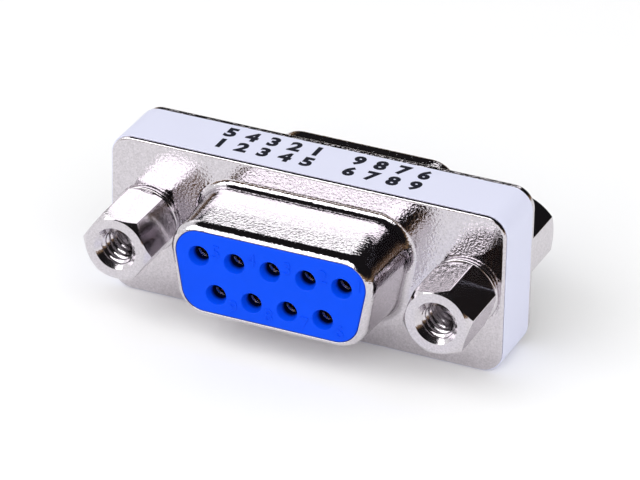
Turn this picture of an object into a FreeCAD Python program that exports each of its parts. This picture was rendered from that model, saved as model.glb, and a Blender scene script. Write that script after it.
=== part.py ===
import FreeCAD, Part
import os
import Sketcher

# Slim gender changer with a nine-way socket connector at each end.
# Millimetres. X runs along the body, Y from the front face (-Y) to the rear face (+Y), Z up.
# The origin is under the middle of the body, on the surface it stands on.
# Each end's pieces are drawn looking at that end: x across, y towards the wide side of its
# shroud, z outwards from the mid-plane. The rear end is the front end given half a turn
# about the long axis, so its wide side is down.

DRIVING = {
    # contact field
    "contact_pitch": 2.77,
    "row_spacing": 2.84,
    # drawn shell: shroud
    "shroud_end_margin": 2.635,
    "shroud_row_margin": 2.555,
    "shroud_corner_radius": 2.6,
    "side_slope": 10,
    "shroud_draft": 2.7,
    "shroud_reach": 6.1,
    "shroud_rise": 0.2,
    "lip_radius": 0.85,
    "lip_width": 0.5,
    "root_radius": 0.6,
    # drawn shell: flange and skirt
    "sheet_thickness": 0.45,
    "shroud_to_screw": 4.32,
    "flange_border": 2.235,
    "flange_corner_radius": 1.6,
    "bend_radius": 0.22,
    "seam_gap": 0.1,
    # moulded insulator
    "nose_clearance": 0.08,
    "face_setback": 0.02,
    "face_edge_radius": 0.12,
    "insulator_flange": 1.11,
    "pan_clearance": 0.1,
    "entry_length": 1.2,
    "entry_clearance": 0.08,
    "entry_draft": 2,
    "flare_width": 0.22,
    "flare_depth": 0.7,
    # socket contact
    "socket_radius": 0.5,
    "socket_depth": 4.6,
    "socket_lead": 0.1,
    "barrel_wall": 0.25,
    "slit_width": 0.2,
    "slit_length": 3.4,
    "shoulder_height": 0.2,
    "shoulder_thickness": 0.4,
    "tail_radius": 0.3,
    "tail_stickout": 0.1,
    "contact_clearance": 0.05,
    # retainer and circuit board
    "retainer_thickness": 0.5,
    "foot_height": 0.25,
    "foot_radius": 0.7,
    "board_thickness": 1.0,
    "insert_corner_radius": 0.8,
    # screw sleeve and jack posts
    "sleeve_radius": 2.3,
    "sleeve_to_skirt": 0.175,
    "sleeve_to_insert": 0.5,
    "stud_radius": 1.4,
    "stud_clearance": 0.15,
    "stud_tip_chamfer": 0.25,
    "stud_gap": 0.8,
    "thread_clearance": 0.02,
    "post_across_flats": 4.7625,
    "post_length": 5.4,
    "post_chamfer_width": 0.42,
    "post_chamfer_slope": 45,
    "washer_thickness": 0.4,
    "washer_radius": 2.6,
    "tapped_radius": 1.13,
    "tapped_floor": 0.8,
    "tapped_tip": 0.5,
    "tapped_flare": 0.52,
    # wrap around the skirts
    "band_thickness": 0.08,
    "band_front_setback": 0.02,
    "band_rear_setback": 0.46,
    "band_seam": 0.5,
}

DERIVED = {
    "shroud_width": "=4 * contact_pitch + 2 * shroud_end_margin",
    "shroud_height": "=row_spacing + 2 * shroud_row_margin",
    "screw_spacing": "=shroud_width + 2 * shroud_to_screw",
    "flange_width": "=screw_spacing + 2 * (sleeve_radius + sleeve_to_skirt + sheet_thickness)",
    "flange_height": "=shroud_height + 2 * flange_border",
    "board_face": "=board_thickness / 2",
    "retainer_back": "=board_face + foot_height",
    "insulator_back": "=retainer_back + retainer_thickness",
    "plate_inside": "=insulator_back + insulator_flange",
    "plate_face": "=plate_inside + sheet_thickness",
    "shroud_mouth": "=plate_face + shroud_reach",
    "insulator_face": "=shroud_mouth - face_setback",
    "mouth_inset": "=shroud_reach * tan(shroud_draft) + lip_width",
    "cavity_inset": "=sheet_thickness / cos(shroud_draft) - sheet_thickness * tan(shroud_draft)",
    "cavity_depth": "=shroud_reach",
    "inner_lip_radius": "=lip_radius - sheet_thickness",
    "insert_width": "=screw_spacing - 2 * (sleeve_radius + sleeve_to_insert)",
    "insert_height": "=flange_height - 2 * (sheet_thickness + pan_clearance)",
    "barrel_radius": "=socket_radius + barrel_wall",
    "shoulder_radius": "=barrel_radius + shoulder_height",
    "entry_radius": "=socket_radius + entry_clearance",
    "throat_radius": "=entry_radius + (entry_length - flare_depth) * tan(entry_draft)",
    "socket_mouth": "=insulator_face - entry_length - contact_clearance",
    "post_face": "=plate_face + post_length",
    "post_foot": "=plate_face + washer_thickness",
    "post_vertex_radius": "=post_across_flats / (2 * cos(30))",
    "post_face_radius": "=post_vertex_radius - post_chamfer_width",
    "sleeve_length": "=2 * plate_inside",
    "band_front": "=plate_face - bend_radius - band_front_setback",
    "band_rear": "=plate_face - bend_radius - band_rear_setback",
    "band_width": "=band_front + band_rear",
    "axis_height": "=flange_height / 2 + band_thickness",
}

TOP_ROW = [(column - 2, 1) for column in (4, 3, 2, 1, 0)]
LOWER_ROW = [(column - 1.5, -1) for column in (3, 2, 1, 0)]
# contact 1 is at the right of the long row when that end is looked at
CONTACT_PLACES = TOP_ROW + LOWER_ROW

FRONT = 90
REAR = -90

doc = FreeCAD.newDocument("gender_changer")
sizes = doc.addObject("Spreadsheet::Sheet", "Sizes")
for row, (alias, content) in enumerate({**DRIVING, **DERIVED}.items(), start=1):
    sizes.set(f"A{row}", alias)
    sizes.set(f"B{row}", str(content))
    sizes.setAlias(f"B{row}", alias)
doc.recompute()


def size(alias):
    """The present value of one cell of the sheet."""
    return float(getattr(sizes, alias))


def attach(feature, body, plane):
    """Sets a sketch or a primitive on one of its body's own planes."""
    support = next(part for part in body.Origin.OriginFeatures if part.Role == plane)
    feature.AttachmentSupport = (support, [""])
    feature.MapMode = "FlatFace"


def sketch_on(body, name, plane, height=None):
    """A sketch on one of the body's own planes, lifted along its normal by a formula."""
    sketch = body.newObject("Sketcher::SketchObject", name)
    attach(sketch, body, plane)
    if height:
        sketch.setExpression("AttachmentOffset.Base.z", height)
    return sketch


def dimension(sketch, kind, places, value, formula):
    """A driving constraint whose value follows the formula."""
    index = sketch.addConstraint(Sketcher.Constraint(kind, *places, value))
    sketch.setExpression(f"Constraints[{index}]", formula)


def evaluate(formula):
    """The present value of a formula that names cells of the sheet."""
    return float(sizes.evalExpression(formula.replace("Sizes.", "")))


def rounded_outline(sketch, width, height, radius, spread="0", rise="0"):
    """A closed outline with four round corners, wider at its top by spread on each side."""
    half_top = evaluate(f"({width}) / 2 - ({radius})")
    reach = evaluate(f"({height}) / 2 - ({radius})")
    corner = evaluate(radius)
    lean = evaluate(spread)
    lift = evaluate(rise)
    tilt = FreeCAD.Vector(2 * reach, -lean, 0).normalize()
    centres = [
        FreeCAD.Vector(half_top, lift + reach, 0),
        FreeCAD.Vector(half_top - lean, lift - reach, 0),
        FreeCAD.Vector(lean - half_top, lift - reach, 0),
        FreeCAD.Vector(-half_top, lift + reach, 0),
    ]
    up = FreeCAD.Vector(0, 1, 0)
    right = FreeCAD.Vector(tilt.x, tilt.y, 0)
    left = FreeCAD.Vector(-tilt.x, tilt.y, 0)
    normals = [(up, right), (right, -up), (-up, left), (left, up)]
    first = sketch.GeometryCount
    for centre, (before, after) in zip(centres, normals):
        start = centre + before * corner
        end = centre + after * corner
        middle = centre + (before + after).normalize() * corner
        sketch.addGeometry(Part.Arc(start, middle, end), False)
    arcs = list(range(first, first + 4))
    for here, (_, after) in enumerate(normals):
        start = centres[here] + after * corner
        end = centres[(here + 1) % 4] + after * corner
        line = sketch.addGeometry(Part.LineSegment(start, end), False)
        arc = arcs[here]
        following = arcs[(here + 1) % 4]
        for neighbour, line_end in ((arc, 1), (following, 2)):
            place = sketch.getPoint(line, line_end)
            gaps = [(place - sketch.getPoint(neighbour, end_)).Length for end_ in (1, 2)]
            neighbour_end = 1 + gaps.index(min(gaps))
            sketch.addConstraint(
                Sketcher.Constraint("Tangent", neighbour, neighbour_end, line, line_end)
            )
    for arc in arcs[1:]:
        sketch.addConstraint(Sketcher.Constraint("Equal", arcs[0], arc))
    dimension(sketch, "Radius", (arcs[0],), corner, radius)
    for left_arc, right_arc in ((arcs[3], arcs[0]), (arcs[2], arcs[1])):
        sketch.addConstraint(
            Sketcher.Constraint("Symmetric", left_arc, 3, right_arc, 3, -2)
        )
    across = f"({width}) / 2 - ({radius})"
    along = f"({height}) / 2 - ({radius})"
    dimension(sketch, "DistanceX", (-1, 1, arcs[0], 3), half_top, across)
    dimension(sketch, "DistanceX", (-1, 1, arcs[1], 3), half_top - lean, f"{across} - ({spread})")
    dimension(sketch, "DistanceY", (-1, 1, arcs[0], 3), lift + reach, f"{along} + ({rise})")
    dimension(sketch, "DistanceY", (-1, 1, arcs[1], 3), lift - reach, f"({rise}) - ({along})")


def shroud_outline(sketch, inset, rise):
    """The shroud's D, drawn inside its outline at the plate by an inset."""
    rounded_outline(
        sketch,
        width=f"Sizes.shroud_width - 2 * ({inset})",
        height=f"Sizes.shroud_height - 2 * ({inset})",
        radius=f"Sizes.shroud_corner_radius - ({inset})",
        spread="(Sizes.shroud_height - 2 * Sizes.shroud_corner_radius) * tan(Sizes.side_slope)",
        rise=rise,
    )


def circles(sketch, places, radius):
    """Circles of one radius, their centres given as pairs of formulas."""
    first = sketch.GeometryCount
    for index, (across, along) in enumerate(places):
        centre = FreeCAD.Vector(evaluate(across), evaluate(along), 0)
        ring = sketch.addGeometry(
            Part.Circle(centre, FreeCAD.Vector(0, 0, 1), evaluate(radius)), False
        )
        dimension(sketch, "DistanceX", (-1, 1, ring, 3), centre.x, across)
        dimension(sketch, "DistanceY", (-1, 1, ring, 3), centre.y, along)
        if index:
            sketch.addConstraint(Sketcher.Constraint("Equal", first, ring))
        else:
            dimension(sketch, "Radius", (ring,), evaluate(radius), radius)


def section(sketch, corners):
    """A closed straight-sided section, its corners given as pairs of formulas."""
    points = [FreeCAD.Vector(evaluate(across), evaluate(along), 0) for across, along in corners]
    first = sketch.GeometryCount
    for start, end in zip(points, points[1:] + points[:1]):
        sketch.addGeometry(Part.LineSegment(start, end), False)
    count = len(points)
    for index, (across, along) in enumerate(corners):
        line = first + index
        before = first + (index - 1) % count
        sketch.addConstraint(Sketcher.Constraint("Coincident", before, 2, line, 1))
        dimension(sketch, "DistanceX", (-1, 1, line, 1), points[index].x, across)
        dimension(sketch, "DistanceY", (-1, 1, line, 1), points[index].y, along)


def contact_places():
    """Where the nine contacts of one end stand, as pairs of formulas."""
    return [
        (f"{column} * Sizes.contact_pitch", f"{side} * Sizes.row_spacing / 2")
        for column, side in CONTACT_PLACES
    ]


def grow(body, name, sketch, length, draft=None):
    """A pad upwards from the sketch, drawn in by the draft angle."""
    pad = body.newObject("PartDesign::Pad", name)
    pad.Profile = sketch
    pad.setExpression("Length", length)
    if draft:
        pad.setExpression("TaperAngle", f"-({draft})")
    return pad


def cut_up(body, name, sketch, length, draft=None):
    """A pocket upwards from the sketch, drawn in by the draft angle."""
    pocket = body.newObject("PartDesign::Pocket", name)
    pocket.Profile = sketch
    pocket.Reversed = True
    pocket.setExpression("Length", length)
    if draft:
        pocket.setExpression("TaperAngle", f"-({draft})")
    return pocket


def turn(body, name, sketch, kind="PartDesign::Revolution"):
    """A full turn of the section about the body's own z axis."""
    turned = body.newObject(kind, name)
    turned.Profile = sketch
    turned.ReferenceAxis = (sketch, ["V_Axis"])
    turned.Angle = 360
    return turned


def edges_at(feature, height, half_width, half_height):
    """Names of the flat-lying edges at one height, within a limit across and along."""
    doc.recompute()
    level = evaluate(height)
    reach = evaluate(half_width)
    rise = evaluate(half_height)
    found = []
    for index, edge in enumerate(feature.Shape.Edges, start=1):
        box = edge.BoundBox
        flat = abs(box.ZMin - level) < 1e-4 and abs(box.ZMax - level) < 1e-4
        inside = max(abs(box.XMin), abs(box.XMax)) < reach + 1e-3
        if flat and inside and max(abs(box.YMin), abs(box.YMax)) < rise + 1e-3:
            found.append(f"Edge{index}")
    return found


def round_edges(body, name, feature, edges, radius):
    """A fillet on the named edges of the feature before it."""
    fillet = body.newObject("PartDesign::Fillet", name)
    fillet.Base = (feature, edges)
    fillet.setExpression("Radius", radius)
    return fillet


def new_body(name, facing, across="0"):
    """A body for one piece, its z axis pointing out of the end that it belongs to."""
    body = doc.addObject("PartDesign::Body", name)
    body.Label = name
    body.Placement = FreeCAD.Placement(
        FreeCAD.Vector(0, 0, 0), FreeCAD.Rotation(FreeCAD.Vector(1, 0, 0), facing)
    )
    body.setExpression("Placement.Base.x", across)
    body.setExpression("Placement.Base.z", "Sizes.axis_height")
    return body


def rise_of(facing):
    """How far a shroud's centre stands off the contact field, towards its own wide side."""
    return "Sizes.shroud_rise" if facing == FRONT else "-Sizes.shroud_rise"


def drawn_shell(name, facing):
    """A pan with a deep-drawn, drafted D shroud whose mouth is curled in to a lip."""
    body = new_body(name, facing)
    rise = rise_of(facing)
    flange = ("Sizes.flange_width", "Sizes.flange_height", "Sizes.flange_corner_radius")
    outline = sketch_on(body, f"{name}_flange_outline", "XY_Plane", "Sizes.seam_gap / 2")
    rounded_outline(outline, *flange)
    pan = grow(body, f"{name}_pan", outline, "Sizes.plate_face - Sizes.seam_gap / 2")
    rim = edges_at(pan, "Sizes.plate_face", "Sizes.flange_width / 2", "Sizes.flange_height / 2")
    bend = round_edges(body, f"{name}_bend", pan, rim, "Sizes.bend_radius")
    root = sketch_on(body, f"{name}_shroud_outline", "XY_Plane", "Sizes.plate_face")
    shroud_outline(root, "0", rise)
    shroud = grow(body, f"{name}_shroud", root, "Sizes.shroud_reach", "Sizes.shroud_draft")
    reach = ("Sizes.shroud_width / 2", "Sizes.shroud_height / 2 + Sizes.shroud_rise")
    lip = round_edges(
        body, f"{name}_lip", shroud, edges_at(shroud, "Sizes.shroud_mouth", *reach),
        "Sizes.lip_radius",
    )
    foot = round_edges(
        body, f"{name}_root", lip, edges_at(lip, "Sizes.plate_face", *reach), "Sizes.root_radius"
    )
    hollow = sketch_on(body, f"{name}_pan_outline", "XY_Plane", "Sizes.seam_gap / 2")
    rounded_outline(hollow, *(f"{value} - {share} * Sizes.sheet_thickness"
                              for value, share in zip(flange, (2, 2, 1))))
    cut_up(body, f"{name}_pan_hollow", hollow, "Sizes.plate_inside - Sizes.seam_gap / 2")
    bore = sketch_on(body, f"{name}_cavity_outline", "XY_Plane", "Sizes.plate_inside")
    shroud_outline(bore, "Sizes.cavity_inset", rise)
    cavity = cut_up(body, f"{name}_cavity", bore, "Sizes.cavity_depth", "Sizes.shroud_draft")
    inside = round_edges(
        body, f"{name}_inner_lip", cavity,
        edges_at(cavity, "Sizes.plate_inside + Sizes.cavity_depth", *reach),
        "Sizes.inner_lip_radius",
    )
    round_edges(
        body, f"{name}_inner_root", inside, edges_at(inside, "Sizes.plate_inside", *reach),
        "Sizes.root_radius + Sizes.sheet_thickness",
    )
    mouth = sketch_on(body, f"{name}_mouth_outline", "XY_Plane", "Sizes.plate_face")
    shroud_outline(mouth, "Sizes.mouth_inset", rise)
    cut_up(body, f"{name}_mouth", mouth, "Sizes.shroud_reach + Sizes.sheet_thickness")
    holes = sketch_on(body, f"{name}_stud_holes", "XY_Plane", "Sizes.plate_inside")
    circles(
        holes,
        [(f"{side} * Sizes.screw_spacing / 2", "0") for side in (-1, 1)],
        "Sizes.stud_radius + Sizes.stud_clearance",
    )
    cut_up(body, f"{name}_stud_clearance", holes, "Sizes.sheet_thickness")
    return body


def funnel(body, name, place, floor, length, small_radius, large_radius):
    """A conical hole that opens outwards, from its floor over a length."""
    cone = body.newObject("PartDesign::SubtractiveCone", name)
    attach(cone, body, "XY_Plane")
    across, along = place
    cone.setExpression("AttachmentOffset.Base.x", across)
    cone.setExpression("AttachmentOffset.Base.y", along)
    cone.setExpression("AttachmentOffset.Base.z", floor)
    cone.setExpression("Radius1", small_radius)
    cone.setExpression("Radius2", large_radius)
    cone.setExpression("Height", length)


def pin_entry(body, name, place):
    """The way in for one pin: a drafted hole, and a wide mouth that guides the pin to it."""
    funnel(
        body, f"{name}_hole", place, "Sizes.insulator_face - Sizes.entry_length",
        "Sizes.entry_length - Sizes.flare_depth", "Sizes.entry_radius", "Sizes.throat_radius",
    )
    funnel(
        body, f"{name}_mouth", place, "Sizes.insulator_face - Sizes.flare_depth",
        "Sizes.flare_depth", "Sizes.throat_radius", "Sizes.throat_radius + Sizes.flare_width",
    )


def insert_outline(sketch):
    """The outline shared by the insulator's flange, the retainer and the board."""
    rounded_outline(
        sketch, "Sizes.insert_width", "Sizes.insert_height", "Sizes.insert_corner_radius"
    )


def insulator(name, facing):
    """A moulded block: a flange inside the pan, and a nose that fills the shroud to its lip."""
    body = new_body(name, facing)
    rise = rise_of(facing)
    outline = sketch_on(body, f"{name}_flange_outline", "XY_Plane", "Sizes.insulator_back")
    insert_outline(outline)
    grow(body, f"{name}_flange", outline, "Sizes.insulator_flange")
    nose_inset = "Sizes.cavity_inset + Sizes.nose_clearance"
    nose_end = "Sizes.shroud_mouth - Sizes.sheet_thickness - Sizes.nose_clearance"
    root = sketch_on(body, f"{name}_nose_outline", "XY_Plane", "Sizes.plate_inside")
    shroud_outline(root, nose_inset, rise)
    nose = grow(
        body, f"{name}_nose", root, f"{nose_end} - Sizes.plate_inside", "Sizes.shroud_draft"
    )
    reach = ("Sizes.shroud_width / 2", "Sizes.shroud_height / 2 + Sizes.shroud_rise")
    round_edges(
        body, f"{name}_shoulder", nose, edges_at(nose, nose_end, *reach), "Sizes.inner_lip_radius"
    )
    face = sketch_on(body, f"{name}_face_outline", "XY_Plane", "Sizes.plate_inside")
    shroud_outline(face, "Sizes.mouth_inset + Sizes.nose_clearance / 2", rise)
    boss = grow(body, f"{name}_face", face, "Sizes.insulator_face - Sizes.plate_inside")
    round_edges(
        body, f"{name}_face_edge", boss, edges_at(boss, "Sizes.insulator_face", *reach),
        "Sizes.face_edge_radius",
    )
    seats = sketch_on(body, f"{name}_shoulder_seats", "XY_Plane", "Sizes.insulator_back")
    circles(seats, contact_places(), "Sizes.shoulder_radius + Sizes.contact_clearance")
    cut_up(body, f"{name}_seats", seats, "Sizes.shoulder_thickness")
    barrels = sketch_on(body, f"{name}_barrel_holes", "XY_Plane", "Sizes.insulator_back")
    circles(barrels, contact_places(), "Sizes.barrel_radius + Sizes.contact_clearance")
    cut_up(
        body, f"{name}_barrels", barrels,
        "Sizes.insulator_face - Sizes.entry_length - Sizes.insulator_back",
    )
    for number, place in enumerate(contact_places(), start=1):
        pin_entry(body, f"{name}_entry_{number}", place)
    return body


def retainer(name, facing):
    """A plate that holds the contacts in the insulator and stands on the board by four feet."""
    body = new_body(name, facing)
    outline = sketch_on(body, f"{name}_outline", "XY_Plane", "Sizes.retainer_back")
    insert_outline(outline)
    circles(outline, contact_places(), "Sizes.tail_radius + Sizes.contact_clearance")
    grow(body, f"{name}_plate", outline, "Sizes.retainer_thickness")
    feet = sketch_on(body, f"{name}_feet_outline", "XY_Plane", "Sizes.board_face")
    across = "(Sizes.insert_width / 2 - Sizes.foot_radius)"
    along = "(Sizes.insert_height / 2 - Sizes.foot_radius)"
    circles(
        feet,
        [(f"{x} * {across}", f"{y} * {along}") for x in (-1, 1) for y in (-1, 1)],
        "Sizes.foot_radius",
    )
    grow(body, f"{name}_feet", feet, "Sizes.foot_height")
    return body


def circuit_board(name):
    """A board across the middle, with two rows of holes that take the tails of both ends."""
    body = new_body(name, FRONT)
    outline = sketch_on(body, f"{name}_outline", "XY_Plane", "-Sizes.board_face")
    insert_outline(outline)
    far_end = [(across, f"-({along})") for across, along in contact_places()]
    circles(outline, contact_places() + far_end, "Sizes.tail_radius + Sizes.contact_clearance")
    grow(body, f"{name}_plate", outline, "Sizes.board_thickness")
    return body


def socket_contact(name, facing, place):
    """A turned socket: a split barrel, a shoulder that seats it and a tail for the board."""
    across, along = place
    body = new_body(name, facing, across)
    sign = 1 if facing == FRONT else -1
    body.setExpression("Placement.Base.z", f"Sizes.axis_height + {sign} * ({along})")
    profile = sketch_on(body, f"{name}_section", "XZ_Plane")
    tail_end = "-Sizes.board_face - Sizes.tail_stickout"
    floor = "Sizes.socket_mouth - Sizes.socket_depth"
    section(
        profile,
        [
            ("0", tail_end),
            ("Sizes.tail_radius", tail_end),
            ("Sizes.tail_radius", "Sizes.insulator_back"),
            ("Sizes.shoulder_radius", "Sizes.insulator_back"),
            ("Sizes.shoulder_radius", "Sizes.insulator_back + Sizes.shoulder_thickness"),
            ("Sizes.barrel_radius", "Sizes.insulator_back + Sizes.shoulder_thickness"),
            ("Sizes.barrel_radius", "Sizes.socket_mouth"),
            ("Sizes.socket_radius + Sizes.socket_lead", "Sizes.socket_mouth"),
            ("Sizes.socket_radius", "Sizes.socket_mouth - Sizes.socket_lead"),
            ("Sizes.socket_radius", floor),
            ("0", f"{floor} - Sizes.socket_radius / 2"),
        ],
    )
    turn(body, f"{name}_turned", profile)
    slit = sketch_on(body, f"{name}_slit_outline", "XY_Plane", "Sizes.socket_mouth")
    section(
        slit,
        [
            (f"{x} * 2 * Sizes.barrel_radius", f"{y} * Sizes.slit_width / 2")
            for x, y in ((-1, -1), (1, -1), (1, 1), (-1, 1))
        ],
    )
    cut = body.newObject("PartDesign::Pocket", f"{name}_slit")
    cut.Profile = slit
    cut.setExpression("Length", "Sizes.slit_length")
    return body


def screw_sleeve(name, side):
    """A tapped tube between the two plates, which both jack posts screw into."""
    body = new_body(name, FRONT, f"{side} * Sizes.screw_spacing / 2")
    outline = sketch_on(body, f"{name}_outline", "XY_Plane", "-Sizes.plate_inside")
    circles(outline, [("0", "0")], "Sizes.sleeve_radius")
    circles(outline, [("0", "0")], "Sizes.stud_radius + Sizes.thread_clearance")
    grow(body, f"{name}_tube", outline, "Sizes.sleeve_length")
    return body


def hexagon_outline(sketch):
    """A regular hexagon with one corner on the x axis."""
    radius = size("post_vertex_radius")
    spoke = FreeCAD.Vector(radius, 0, 0)
    axis = FreeCAD.Vector(0, 0, 1)
    corners = [FreeCAD.Rotation(axis, 60 * index).multVec(spoke) for index in range(6)]
    ring = sketch.addGeometry(Part.Circle(FreeCAD.Vector(0, 0, 0), axis, radius), True)
    sketch.addConstraint(Sketcher.Constraint("Coincident", -1, 1, ring, 3))
    dimension(sketch, "Radius", (ring,), radius, "Sizes.post_vertex_radius")
    lines = [
        sketch.addGeometry(Part.LineSegment(start, end), False)
        for start, end in zip(corners, corners[1:] + corners[:1])
    ]
    for before, line in zip(lines[-1:] + lines[:-1], lines):
        sketch.addConstraint(Sketcher.Constraint("Coincident", before, 2, line, 1))
        sketch.addConstraint(Sketcher.Constraint("PointOnObject", line, 1, ring))
    for line in lines[1:]:
        sketch.addConstraint(Sketcher.Constraint("Equal", lines[0], line))
    sketch.addConstraint(Sketcher.Constraint("PointOnObject", lines[0], 1, -1))


def jack_post(name, facing, side, corner_angle):
    """A hexagonal standoff: tapped face, chamfered ends, round washer and stud on one piece."""
    body = new_body(name, facing, f"{side} * Sizes.screw_spacing / 2")
    body.Placement = FreeCAD.Placement(
        body.Placement.Base,
        body.Placement.Rotation * FreeCAD.Rotation(FreeCAD.Vector(0, 0, 1), corner_angle),
    )
    outline = sketch_on(body, f"{name}_outline", "XY_Plane", "Sizes.post_foot")
    hexagon_outline(outline)
    grow(body, f"{name}_hexagon", outline, "Sizes.post_face - Sizes.post_foot")
    corners = sketch_on(body, f"{name}_corner_section", "XZ_Plane")
    beyond = "(2 * Sizes.post_chamfer_width)"
    drop = f"{beyond} * tan(Sizes.post_chamfer_slope)"
    outer = f"Sizes.post_face_radius + {beyond}"
    section(
        corners,
        [
            ("Sizes.post_face_radius", "Sizes.post_face"),
            (outer, f"Sizes.post_face - {drop}"),
            (outer, "Sizes.post_face"),
        ],
    )
    section(
        corners,
        [
            ("Sizes.post_face_radius", "Sizes.post_foot"),
            (outer, "Sizes.post_foot"),
            (outer, f"Sizes.post_foot + {drop}"),
        ],
    )
    turn(body, f"{name}_corners", corners, "PartDesign::Groove")
    shank = sketch_on(body, f"{name}_stud_section", "XZ_Plane")
    tip = "Sizes.stud_gap / 2"
    section(
        shank,
        [
            ("0", tip),
            ("Sizes.stud_radius - Sizes.stud_tip_chamfer", tip),
            ("Sizes.stud_radius", f"{tip} + Sizes.stud_tip_chamfer"),
            ("Sizes.stud_radius", "Sizes.plate_face"),
            ("Sizes.washer_radius", "Sizes.plate_face"),
            ("Sizes.washer_radius", "Sizes.post_foot"),
            ("0", "Sizes.post_foot"),
        ],
    )
    turn(body, f"{name}_stud", shank)
    tapped = sketch_on(body, f"{name}_tapped_section", "XZ_Plane")
    floor = "Sizes.plate_face + Sizes.tapped_floor"
    section(
        tapped,
        [
            ("0", floor),
            ("Sizes.tapped_radius", f"{floor} + Sizes.tapped_tip"),
            ("Sizes.tapped_radius", "Sizes.post_face - Sizes.tapped_flare"),
            ("Sizes.tapped_radius + Sizes.tapped_flare", "Sizes.post_face"),
            ("0", "Sizes.post_face"),
        ],
    )
    turn(body, f"{name}_tapped_hole", tapped, "PartDesign::Groove")
    return body


def wrap_band(name):
    """A thin strip stuck round both skirts, its two ends side by side under the body."""
    body = new_body(name, FRONT)
    outline = sketch_on(body, f"{name}_outline", "XY_Plane", "-Sizes.band_rear")
    flange = ("Sizes.flange_width", "Sizes.flange_height", "Sizes.flange_corner_radius")
    rounded_outline(outline, *flange)
    rounded_outline(outline, *(f"{value} + {share} * Sizes.band_thickness"
                               for value, share in zip(flange, (2, 2, 1))))
    grow(body, f"{name}_ring", outline, "Sizes.band_width")
    ends = sketch_on(body, f"{name}_seam_outline", "XY_Plane", "-Sizes.band_rear")
    underside = "Sizes.flange_height / 2"
    section(
        ends,
        [
            (f"{side} * Sizes.band_seam / 2", f"-({underside} + {share} * Sizes.band_thickness)")
            for side, share in ((-1, 2), (1, 2), (1, -1), (-1, -1))
        ],
    )
    cut_up(body, f"{name}_seam", ends, "Sizes.band_width")
    return body


pieces = [
    drawn_shell("front_shell", FRONT),
    drawn_shell("rear_shell", REAR),
    wrap_band("wrap_band"),
    insulator("front_insulator", FRONT),
    insulator("rear_insulator", REAR),
    retainer("front_retainer", FRONT),
    retainer("rear_retainer", REAR),
    circuit_board("circuit_board"),
    screw_sleeve("left_screw_sleeve", -1),
    screw_sleeve("right_screw_sleeve", 1),
    jack_post("front_left_jack_post", FRONT, -1, -5),
    jack_post("front_right_jack_post", FRONT, 1, 13),
    jack_post("rear_left_jack_post", REAR, -1, 10),
    jack_post("rear_right_jack_post", REAR, 1, 30),
]
for end, facing in (("front", FRONT), ("rear", REAR)):
    for number, place in enumerate(contact_places(), start=1):
        pieces.append(socket_contact(f"{end}_contact_{number}", facing, place))

doc.recompute()

for item in doc.Objects:
    if "Invalid" in item.State or "Error" in item.State:
        raise RuntimeError(f"{item.Name} did not build: {item.State}")
for piece in pieces:
    if piece.Shape.isNull() or not piece.Shape.isValid() or len(piece.Shape.Solids) != 1:
        raise RuntimeError(f"{piece.Label} is not one valid solid")

os.makedirs("parts", exist_ok=True)
for piece in pieces:
    piece.Shape.exportStep(f"parts/{piece.Label}.step")
    box = piece.Shape.BoundBox
    print(
        f"{piece.Label}: {piece.Shape.Volume:.3f} mm3, "
        f"{box.XLength:.2f} x {box.YLength:.2f} x {box.ZLength:.2f}"
    )
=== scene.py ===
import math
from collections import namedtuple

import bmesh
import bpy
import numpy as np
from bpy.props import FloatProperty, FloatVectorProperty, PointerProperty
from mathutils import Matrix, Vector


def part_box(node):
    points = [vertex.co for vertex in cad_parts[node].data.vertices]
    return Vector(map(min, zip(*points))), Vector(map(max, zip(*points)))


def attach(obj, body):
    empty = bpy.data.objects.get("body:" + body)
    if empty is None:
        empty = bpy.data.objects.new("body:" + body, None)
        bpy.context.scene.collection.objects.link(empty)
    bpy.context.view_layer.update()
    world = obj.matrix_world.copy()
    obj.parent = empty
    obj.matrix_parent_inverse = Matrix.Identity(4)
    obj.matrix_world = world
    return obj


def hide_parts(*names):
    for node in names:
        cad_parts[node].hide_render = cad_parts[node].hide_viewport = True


bl_info = {
    "name": "Slim connector gender changer",
    "version": (1, 0, 0),
    "blender": (4, 5, 0),
    "location": "View3D > Sidebar > Connector",
    "description": "Plated shells, jack posts, moulded faces and studio for a slim gender changer",
    "category": "Object",
}

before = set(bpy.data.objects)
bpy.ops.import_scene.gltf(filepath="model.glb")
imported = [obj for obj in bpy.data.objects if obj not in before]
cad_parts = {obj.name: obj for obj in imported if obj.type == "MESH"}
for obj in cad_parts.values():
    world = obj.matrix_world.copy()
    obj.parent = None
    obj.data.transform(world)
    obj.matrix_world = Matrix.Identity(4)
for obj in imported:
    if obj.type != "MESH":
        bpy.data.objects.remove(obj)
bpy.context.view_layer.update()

# Metres. X runs along the body, Y from the front face (-Y) to the rear face (+Y), Z up.
# Each end's pieces are worked out looking at that end: across, up towards the wide side of its
# shroud, and out along the connector's axis. place_end() puts them at the front or the rear.

MM = 0.001
ENDS = ("front", "rear")
SIDES = (("left", -1), ("right", 1))
BAND_LOW, BAND_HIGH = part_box("wrap_band")
AXIS_HEIGHT = (BAND_LOW.z + BAND_HIGH.z) / 2
SHELL_LOW, SHELL_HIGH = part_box("front_shell")
INSULATOR_LOW, INSULATOR_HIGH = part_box("front_insulator")
FACE_LEVEL = -INSULATOR_LOW.y  # of the moulded faces, above the mid-plane
SLEEVE_LOW, SLEEVE_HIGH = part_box("right_screw_sleeve")
SCREW_OFFSET = (SLEEVE_LOW.x + SLEEVE_HIGH.x) / 2
SMOOTH_LIMIT = math.radians(35)
FLAT_FACE_WEIGHT = 80
WELD = 2e-8

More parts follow.
